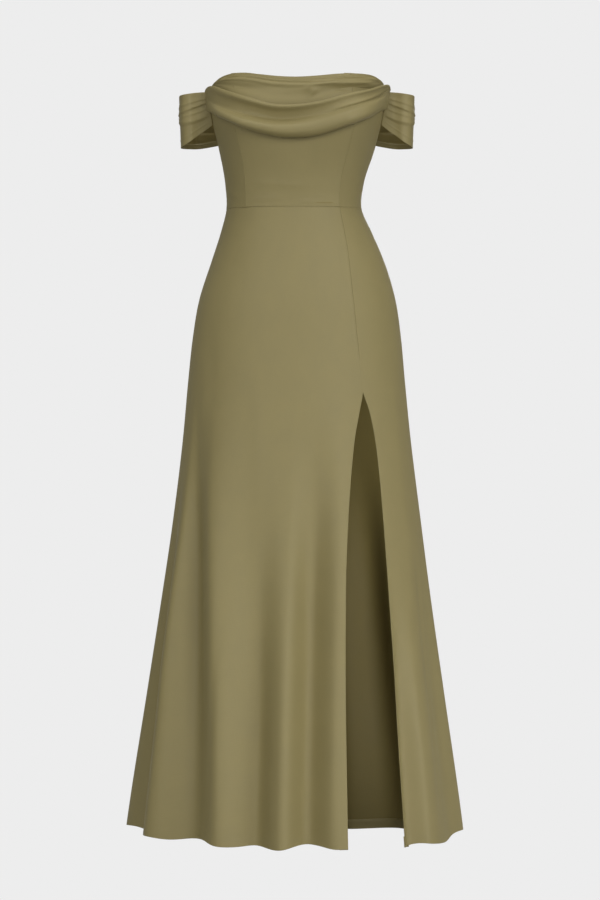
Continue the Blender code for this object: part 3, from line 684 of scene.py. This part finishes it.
def cut_of(points):
    """A sheet's cut: the longest way across, the longest way down, and the area, from its rows of points."""
    across = np.linalg.norm(np.diff(points, axis=1), axis=2).sum(axis=1).max()
    down = np.linalg.norm(np.diff(points, axis=0), axis=2).sum(axis=0).max()
    one, two = points[1:, 1:] - points[:-1, :-1], points[1:, :-1] - points[:-1, 1:]
    area = np.linalg.norm(np.cross(one, two), axis=2).sum() / 2
    return float(across), float(down), float(area)


CUTS = {}


def cloth(node, columns, rows, place, held, rests_on, flip=False):
    """A thin shell of satin that stands for a CAD node. place(columns, rows) gives the cloth's right side."""
    across, down = len(columns.share), len(rows.share)
    grid = Steps(*(np.broadcast_to(c[None, :], (down, across)).ravel() for c in columns))
    line = Steps(*(np.broadcast_to(r[:, None], (down, across)).ravel() for r in rows))
    points = place(grid, line)
    width, length, area = cut_of(points.reshape(down, across, 3))
    sheet = bmesh.new()
    bmesh.ops.create_grid(sheet, x_segments=across - 1, y_segments=down - 1, size=0.5)
    weave = sheet.loops.layers.uv.new("cloth")
    threads = {}
    for vertex in sheet.verts:
        i = round((vertex.co.x + 0.5) * (across - 1))
        j = round((vertex.co.y + 0.5) * (down - 1))
        k = j * across + i
        vertex.co = points[k]
        threads[vertex.index] = (
            grid.share[k] * width + grid.offset[k] - grid.dip[k],
            line.share[k] * length + line.offset[k] - line.dip[k],
        )
    for face in sheet.faces:
        for loop in face.loops:
            loop[weave].uv = threads[loop.vert.index]
    if flip:
        bmesh.ops.reverse_faces(sheet, faces=sheet.faces)
    mesh = bpy.data.meshes.new(f"satin_{node}")
    sheet.to_mesh(mesh)
    sheet.free()
    mesh.shade_smooth()
    made = keep_object(f"satin_{node}", mesh, [satin(), satin_reverse()])
    wall = made.modifiers.new("Cloth", "SOLIDIFY")
    wall.thickness = sizes().cloth
    wall.offset = -1.0
    wall.use_even_offset = False
    wall.material_offset = 1
    wall.material_offset_rim = 0
    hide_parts(node)
    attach(made, BODY)
    CUTS[made.name] = (round(width, 3), round(length, 3), round(area, 4))
    return made


def trimmed(angle, height, side):
    """The angle moved by half a seam gap, to the side that side's sign gives."""
    return angle + side * SEAM_GAP / 2 / metres_per_degree(angle, height)


def bodice_place(start, end):
    """Where a bodice piece's cloth lies between two seams."""

    def place(across, up):
        share = up.share
        low = start.waist + (start.neck - start.waist) * share
        high = end.waist + (end.neck - end.waist) * share
        rough = low + (high - low) * across.share
        top = column(NECK, "angle", "height", turned(np.clip(rough, -NEAR_BACK, NEAR_BACK)))
        height = SEAM_GAP / 2 + (top - SEAM_GAP / 2) * share + up.offset
        low, high = trimmed(low, height, 1), trimmed(high, height, -1)
        angle = low + (high - low) * across.share
        angle = angle + across.offset / metres_per_degree(angle, height)
        from_low = (angle - low) * metres_per_degree(angle, height)
        from_high = (high - angle) * metres_per_degree(angle, height)
        out = -across.dip - up.dip
        out = out + crease_rise(BODICE_CREASES, angle, height) + ridge_rise(angle, height)
        out = out + pucker_rise(from_low, height, sizes().pucker)
        out = out + pucker_rise(from_high, height + SEAM_SHIFT, sizes().pucker)
        out = out + pucker_rise(height, angle * PUCKER_RUN, sizes().pucker)
        return body(angle, height, out=out)

    return place


def slit_edge(which):
    """A skirt edge that follows the thigh seam and then the slit's near or far edge."""
    return lambda height: column(SLIT, "height", which, height)


def straight(angle):
    return lambda height: np.full_like(height, angle)


def skirt_place(start, end):
    """Where a skirt piece's cloth lies between two edges, from the hem up."""

    def place(across, up):
        height = HEM_ROUGH * (1 - up.share)
        for _ in range(3):
            rough = start(height) + (end(height) - start(height)) * across.share
            hem = column(HEM, "angle", "height", turned(np.clip(rough, -NEAR_BACK, 360.0 + NEAR_BACK)))
            height = hem + (-SEAM_GAP / 2 - hem) * up.share + up.offset
        low, high = trimmed(start(height), height, 1), trimmed(end(height), height, -1)
        angle = low + (high - low) * across.share
        angle = angle + across.offset / metres_per_degree(angle, height)
        out = -across.dip - up.dip
        out = out + crease_rise(SKIRT_CREASES, angle, height) + thigh_rise(angle, height)
        from_low = (angle - low) * metres_per_degree(angle, height)
        from_high = (high - angle) * metres_per_degree(angle, height)
        out = out + pucker_rise(from_low, height, sizes().pucker)
        out = out + pucker_rise(from_high, height + SEAM_SHIFT, sizes().pucker)
        out = out + pucker_rise(height, angle * PUCKER_RUN + WAIST_SHIFT, sizes().pucker)
        return body(angle, height, out=out)

    return place


def upper_drape_place(across, down):
    """The drape's upper layer, from its sewn edge down behind the rolled fold."""
    angle = (2 * across.share - 1) * (DRAPE_END - 1.0)
    top = column(DRAPE, "angle", "top", angle)
    fold = column(DRAPE, "angle", "fold", angle)
    height = top + (fold - DRAPE_TUCK - top) * down.share - down.offset
    shown = np.maximum(top - fold, MM)
    lift = column(UPPER_LIFTS, "share", "out", (top - height) / shown)
    deep = np.clip((top - fold) / DRAPE_DEEP, 0, 1)
    out = sizes().drape_clear + (lift - sizes().drape_clear) * deep - down.dip
    out = out + crease_rise(DRAPE_CREASES, angle, height) * deep
    return body(angle, height, out=out)


def lower_drape_place(across, down):
    """The drape's lower layer: rolled fold, crease, swell and turned-under edge."""
    angle = (2 * across.share - 1) * DRAPE_END
    v = down.share
    lines = {name: column(DRAPE, "angle", name, angle) for name in ("fold", "crease", "lower")}
    below = {"fold": "crease", "crease": "lower"}
    fullness, trough, lean = (column(DRAPE, "angle", n, angle) for n in ("fullness", "trough", "lean"))
    places = np.linspace(0, 1, len(BENDS))
    height, out = np.zeros_like(v), np.zeros_like(v)
    for k, bend in enumerate(BENDS):
        weight = through(places, np.eye(len(BENDS))[k], v)
        line, under = lines[bend.line], lines[below[bend.line]]
        height += weight * (line + (under - line) * bend.share + bend.rise)
        out += weight * MM * (bend.close + bend.full * fullness + bend.cut * trough)
    drop = (lines["fold"] - height) / (lines["fold"] - lines["lower"])
    out = out + DRAPE_LEAN * lean * (LEAN_PIVOT - drop)
    shown = soft_step((v - SWELL_START) / SWELL_FADE) * soft_step((SWELL_END - v) / SWELL_FADE)
    out = out + crease_rise(SWELL_CREASES, angle, height) * shown
    return body(angle, height, out=out)


def pleat_rise(near_root, v):
    """How far the sleeve's laid pleats carry its cloth out at a share of its height."""
    total = np.zeros_like(v)
    for pleat in PLEATS:
        edge = pleat.outer + (pleat.root - pleat.outer) * near_root
        soft = np.clip((v - edge + pleat.soft) / pleat.soft, 0, 1) ** 1.5
        sharp = 1 - soft_step((v - edge) / pleat.sharp)
        total += pleat.rise * soft * sharp
    return total


def sleeve_place(side):
    """Where a sleeve's band lies: from the bodice's side round the arm to its back."""
    sign = 1.0 if side == "left" else -1.0
    shares = [row.share for row in SLEEVE]

    def place(round_arm, down):
        u, v = round_arm.share, down.share
        top, lower = (column(SLEEVE, "share", name, u) for name in ("top", "lower"))
        height = top + (lower - top) * v - down.offset
        plan = np.zeros((len(u), 2))
        for k, row in enumerate(SLEEVE):
            weight = through(shares, np.eye(len(SLEEVE))[k], u)[:, None]
            if k in (0, len(SLEEVE) - 1):
                root = SLEEVE_ROOTS[0 if k == 0 else 1]
                at = body(sign * root.angle, height, out=root.clear)[:, :2] * (sign, 1)
            else:
                at = np.stack(
                    [row.x + SLEEVE_SHIFT[side] - SLEEVE_TAPER * v, np.full_like(v, row.y)], axis=-1
                )
            plan += weight * at
        near_root = np.maximum(1 - u / PLEATS_OUT, (u - PLEATS_IN) / (1 - PLEATS_IN)).clip(0.0, 1.0)
        settled = soft_step(u / SLEEVE_SETTLE) * soft_step((1 - u) / SLEEVE_SETTLE)
        rise = pleat_rise(near_root, v) * settled
        outward = plan - np.array(SLEEVE_CENTRE)
        outward /= np.linalg.norm(outward, axis=1)[:, None]
        plan += outward * (rise - down.dip)[:, None]
        return np.stack([sign * plan[:, 0], plan[:, 1], height], axis=-1)

    return place


def plain_steps(count):
    """Even steps with raw ends, for an edge that is hidden in a seam."""
    share = np.linspace(0, 1, count + 1)
    return Steps(share, np.zeros_like(share), np.zeros_like(share))


def length(name, description, default):
    return bpy.props.FloatProperty(name=name, description=description, default=default, unit="LENGTH")


def amount(name, description, default):
    return bpy.props.FloatProperty(name=name, description=description, default=default)


def swatch(name, description, code):
    return bpy.props.FloatVectorProperty(
        name=name, description=description, size=4, subtype="COLOR", min=0.0, max=1.0,
        default=hex_colour(code),
    )


class DressSizes(bpy.types.PropertyGroup):
    cloth: length("Cloth", "Thickness of one layer of satin", 0.5 * MM)
    turn: length("Turn", "Radius of a pressed edge", 0.55 * MM)
    slit_turn: length("Slit turn", "Radius of the slit's and hem's edge", 0.8 * MM)
    seam_allowance: length("Seam allowance", "Cloth pressed open behind a seam", 0.010)
    hem_allowance: length("Hem allowance", "Cloth turned up at the hem", 0.018)
    slit_allowance: length("Slit allowance", "Cloth turned back along the slit", 0.014)
    cell: length("Cell", "Space between rows of the cloth's mesh", 0.0055)
    pucker: length("Pucker", "Height of the waves that stitching draws", 0.16 * MM)
    drape_clear: length("Drape clearance", "Upper drape's distance off the bodice", 2.2 * MM)


class DressColours(bpy.types.PropertyGroup):
    satin: swatch("Satin", "Right side of the cloth", "#857a50")
    reverse: swatch("Reverse", "Wrong side of the cloth", "#7d7040")
    metal: swatch("Zip", "Enamel of the zip's slider and pull", "#7a6e48")
    studio: swatch("Studio", "Floor and background", "#ededed")


class StudioLight(bpy.types.PropertyGroup):
    key: amount("Key", "Main soft light, in watts", 97.0)
    fill: amount("Fill", "Weaker soft light, in watts", 66.0)
    top: amount("Top", "Overhead soft light, in watts", 42.0)
    low: amount("Low", "Soft light beside the skirt, in watts", 2.6)
    back: amount("Back", "Soft light behind the dress, in watts", 110.0)
    inner: amount("Inner", "Light inside the skirt, in watts", 0.40)
    sky: amount("Room", "Light that the pale room gives back", 0.30)
    distance: length("Camera distance", "From the dress's centre plane", 6.0)
    lens: amount("Lens", "Focal length in millimetres", 134.84)


class DRESS_OT_bodice(bpy.types.Operator):
    """Makes the seven satin pieces of the bodice"""

    bl_idname = "dress.bodice"
    bl_label = "Bodice"

    def execute(self, context):
        s = sizes()
        pieces = {
            "bodice_front": (PRINCESS_RIGHT, PRINCESS_LEFT, 0.190),
            "bodice_side_front_right": (SIDE_RIGHT, PRINCESS_RIGHT, 0.100),
            "bodice_side_front_left": (PRINCESS_LEFT, SIDE_LEFT, 0.100),
            "bodice_side_back_right": (BACK_RIGHT, SIDE_RIGHT, 0.090),
            "bodice_side_back_left": (SIDE_LEFT, BACK_LEFT, 0.090),
            "bodice_back_right": (Seam(-CENTRE_BACK, -CENTRE_BACK), BACK_RIGHT, 0.080),
            "bodice_back_left": (BACK_LEFT, Seam(CENTRE_BACK, CENTRE_BACK), 0.080),
        }
        cell = 0.7 * s.cell
        up = steps(0.215, cell, s.seam_allowance, s.seam_allowance, s.turn)
        for node, (start, end, width) in pieces.items():
            across = steps(width, cell, s.seam_allowance, s.seam_allowance, s.turn)
            cloth(node, across, up, bodice_place(start, end), "stretched", [])
        return {"FINISHED"}


class DRESS_OT_skirt(bpy.types.Operator):
    """Makes the four satin pieces of the skirt, with their hem and slit turned under"""

    bl_idname = "dress.skirt"
    bl_label = "Skirt"

    def execute(self, context):
        s = sizes()
        side_right, side_left = straight(SIDE_RIGHT.waist), straight(SIDE_LEFT.waist)
        pieces = {
            "skirt_front": (side_right, slit_edge("near"), 0.62, s.seam_allowance, s.slit_allowance),
            "skirt_front_left": (slit_edge("far"), side_left, 0.27, s.slit_allowance, s.seam_allowance),
            "skirt_back_left": (side_left, straight(CENTRE_BACK), 0.46, s.seam_allowance, s.seam_allowance),
            "skirt_back_right": (
                straight(CENTRE_BACK), straight(360.0 + SIDE_RIGHT.waist), 0.46,
                s.seam_allowance, s.seam_allowance,
            ),
        }
        up = steps(1.11, 1.4 * s.cell, s.hem_allowance, s.seam_allowance, s.slit_turn)
        for node, (start, end, width, low, high) in pieces.items():
            turn = s.slit_turn if "front" in node else s.turn
            across = steps(width, s.cell, low, high, turn)
            hangs_from = [n for n in BODICE_NODES if ("back" in n) == ("back" in node)]
            cloth(node, across, up, skirt_place(start, end), "hung", hangs_from)
        return {"FINISHED"}


class DRESS_OT_neckline(bpy.types.Operator):
    """Makes the draped neckline's upper and lower layers"""

    bl_idname = "dress.neckline"
    bl_label = "Draped neckline"

    def execute(self, context):
        s = sizes()
        down = steps(0.055, 1.1 * MM, 0.006, 0.004, s.turn, press=0.0)
        cloth(
            "drape_upper", plain_steps(190), down, upper_drape_place, "draped", ["bodice_front"], flip=True
        )
        cloth(
            "drape_lower", plain_steps(210), plain_steps(96), lower_drape_place, "draped",
            ["bodice_front"], flip=True,
        )
        return {"FINISHED"}


class DRESS_OT_sleeves(bpy.types.Operator):
    """Makes the two pleated sleeve bands"""

    bl_idname = "dress.sleeves"
    bl_label = "Sleeves"

    def execute(self, context):
        s = sizes()
        down = steps(0.085, 1.5 * MM, 0.010, 0.010, s.turn, press=0.0)
        for side in ("left", "right"):
            node = f"sleeve_{side}"
            holds = [f"bodice_side_front_{side}", f"bodice_side_back_{side}"]
            cloth(node, plain_steps(110), down, sleeve_place(side), "gathered", holds, flip=side == "left")
        return {"FINISHED"}


class DRESS_OT_zip(bpy.types.Operator):
    """Makes the zip's coil behind the centre back seam and enamels its slider and pull"""

    bl_idname = "dress.zip"
    bl_label = "Zip"

    def execute(self, context):
        count = int((COIL_TOP - COIL_FOOT) / COIL_PITCH) * COIL_POINTS + 1
        for side, sign in (("left", 1), ("right", -1)):
            curve = bpy.data.curves.new(f"coil_path_{side}", "CURVE")
            curve.dimensions = "3D"
            curve.bevel_depth = COIL_WIRE
            curve.bevel_resolution = 0
            curve.use_fill_caps = True
            spline = curve.splines.new("POLY")
            spline.points.add(count - 1)
            for k in range(count):
                turn = 2 * math.pi * k / COIL_POINTS
                height = COIL_TOP - COIL_PITCH * k / COIL_POINTS
                wall = float(body(CENTRE_BACK, height)[1])
                x = sign * COIL_RADIUS * (COIL_MIDDLE + COIL_WIDE * math.cos(turn))
                y = wall - COIL_BEHIND + COIL_DEEP * COIL_RADIUS * math.sin(turn)
                spline.points[k].co = (x, y, height, 1.0)
            holder = bpy.data.objects.new(f"coil_{side}", curve)
            context.scene.collection.objects.link(holder)
            mesh = bpy.data.meshes.new_from_object(holder.evaluated_get(context.evaluated_depsgraph_get()))
            bpy.data.objects.remove(holder)
            mesh.shade_smooth()
            mesh.materials.clear()
            coil = keep_object(f"zip_coil_{side}", mesh, [coil_nylon()])
            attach(coil, BODY)
        for node in ("zip_slider", "zip_pull"):
            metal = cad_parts[node]
            for place in metal.material_slots:
                place.material = zip_enamel()
        return {"FINISHED"}


class DRESS_OT_stage(bpy.types.Operator):
    """Makes the floor, the soft studio light and the camera"""

    bl_idname = "dress.stage"
    bl_label = "Studio"

    def execute(self, context):
        scene = context.scene
        studio = scene.dress_studio
        make_floor()
        make_world(scene, studio.sky)
        for name, box in SOFTBOXES.items():
            add_softbox(scene, name, box, getattr(studio, box.power))
        add_inner_light(scene, studio.inner)
        lens = bpy.data.cameras.new("camera")
        lens.sensor_fit = "VERTICAL"
        lens.sensor_height = SENSOR_HEIGHT
        lens.lens = studio.lens
        camera = bpy.data.objects.new("camera", lens)
        camera.location = (CAMERA_SIDE, -studio.distance, CAMERA_HEIGHT)
        camera.rotation_euler = (math.pi / 2, 0.0, 0.0)
        scene.collection.objects.link(camera)
        scene.camera = camera
        scene.view_settings.view_transform = "Standard"
        return {"FINISHED"}


def add_softbox(scene, name, box, power):
    """A square soft light that points at the dress's middle line."""
    lamp = bpy.data.lights.new(name, "AREA")
    lamp.shape = "SQUARE"
    lamp.size = box.side
    lamp.energy = power
    lamp.spread = math.radians(box.spread)
    holder = bpy.data.objects.new(name, lamp)
    holder.location = box.at
    x, y, z = box.at
    holder.rotation_euler = (math.atan2(math.hypot(x, y), z - box.aim), 0.0, math.atan2(x, -y))
    scene.collection.objects.link(holder)


def add_inner_light(scene, power):
    """A tall soft light inside the skirt, so that the far side shows through the slit."""
    lamp = bpy.data.lights.new("inner_strip", "AREA")
    lamp.shape = "RECTANGLE"
    lamp.size, lamp.size_y = INNER_SIZE
    lamp.energy = power
    lamp.specular_factor = 0.0
    holder = bpy.data.objects.new("inner_strip", lamp)
    holder.location = INNER_AT
    holder.rotation_euler = INNER_TURN
    holder.visible_camera = False
    scene.collection.objects.link(holder)


def seen_or_lit(owner, seen, lit):
    """Mixes what the camera sees with what lights the dress."""
    sight = add_node(owner, "ShaderNodeLightPath").outputs["Is Camera Ray"]
    return add_node(owner, "ShaderNodeMixShader", {0: sight, 1: lit, 2: seen})


def make_floor():
    """A pale floor just under the hem."""
    ground = bmesh.new()
    bmesh.ops.create_grid(ground, x_segments=1, y_segments=1, size=FLOOR_REACH)
    bmesh.ops.translate(ground, verts=ground.verts, vec=(0.0, 0.0, FLOOR_HEIGHT))
    mesh = bpy.data.meshes.new("floor")
    ground.to_mesh(mesh)
    ground.free()
    material, shader = new_material("painted_floor")
    tree = material.node_tree
    glow = add_node(material, "ShaderNodeEmission", {"Color": colours().studio[:], "Strength": 1.0})
    set_inputs(shader, {"Base Color": hex_colour("#b8b8b6"), "Roughness": 0.9})
    mix = seen_or_lit(material, glow.outputs["Emission"], shader.outputs["BSDF"])
    tree.links.new(mix.outputs["Shader"], tree.nodes["Material Output"].inputs["Surface"])
    keep_object("floor", mesh, [material])


def make_world(scene, strength):
    """A pale room: seen as the photograph's background, and giving back a weaker even light."""
    world = bpy.data.worlds.new("pale_room")
    scene.world = world
    world.use_nodes = True
    tree = world.node_tree
    room = tree.nodes["Background"]
    set_inputs(room, {"Color": (1.0, 1.0, 1.0, 1.0), "Strength": strength})
    seen = add_node(world, "ShaderNodeBackground", {"Color": colours().studio[:], "Strength": 1.0})
    mix = seen_or_lit(world, seen.outputs["Background"], room.outputs["Background"])
    tree.links.new(mix.outputs["Shader"], tree.nodes["World Output"].inputs["Surface"])


class DRESS_PT_sidebar(bpy.types.Panel):
    bl_label = "Bridesmaid dress"
    bl_idname = "DRESS_PT_sidebar"
    bl_space_type = "VIEW_3D"
    bl_region_type = "UI"
    bl_category = "Dress"

    def draw(self, context):
        scene = context.scene
        for group in (scene.dress_sizes, scene.dress_colours, scene.dress_studio):
            for name in group.__annotations__:
                self.layout.prop(group, name)
        for step in OPERATORS:
            self.layout.operator(step.bl_idname)


GROUPS = {"dress_sizes": DressSizes, "dress_colours": DressColours, "dress_studio": StudioLight}
OPERATORS = (
    DRESS_OT_stage,
    DRESS_OT_bodice,
    DRESS_OT_skirt,
    DRESS_OT_neckline,
    DRESS_OT_sleeves,
    DRESS_OT_zip,
)


def register():
    for kind in (*GROUPS.values(), *OPERATORS, DRESS_PT_sidebar):
        bpy.utils.register_class(kind)
    for name, group in GROUPS.items():
        setattr(bpy.types.Scene, name, bpy.props.PointerProperty(type=group))


def unregister():
    for name in GROUPS:
        delattr(bpy.types.Scene, name)
    for kind in (DRESS_PT_sidebar, *OPERATORS, *GROUPS.values()):
        bpy.utils.unregister_class(kind)


def main():
    register()
    bpy.ops.dress.stage()
    bpy.ops.dress.bodice()
    bpy.ops.dress.skirt()
    bpy.ops.dress.neckline()
    bpy.ops.dress.sleeves()
    bpy.ops.dress.zip()
    for name, cut in CUTS.items():
        print("cut", name, cut)


if __name__ == "__main__":
    main()
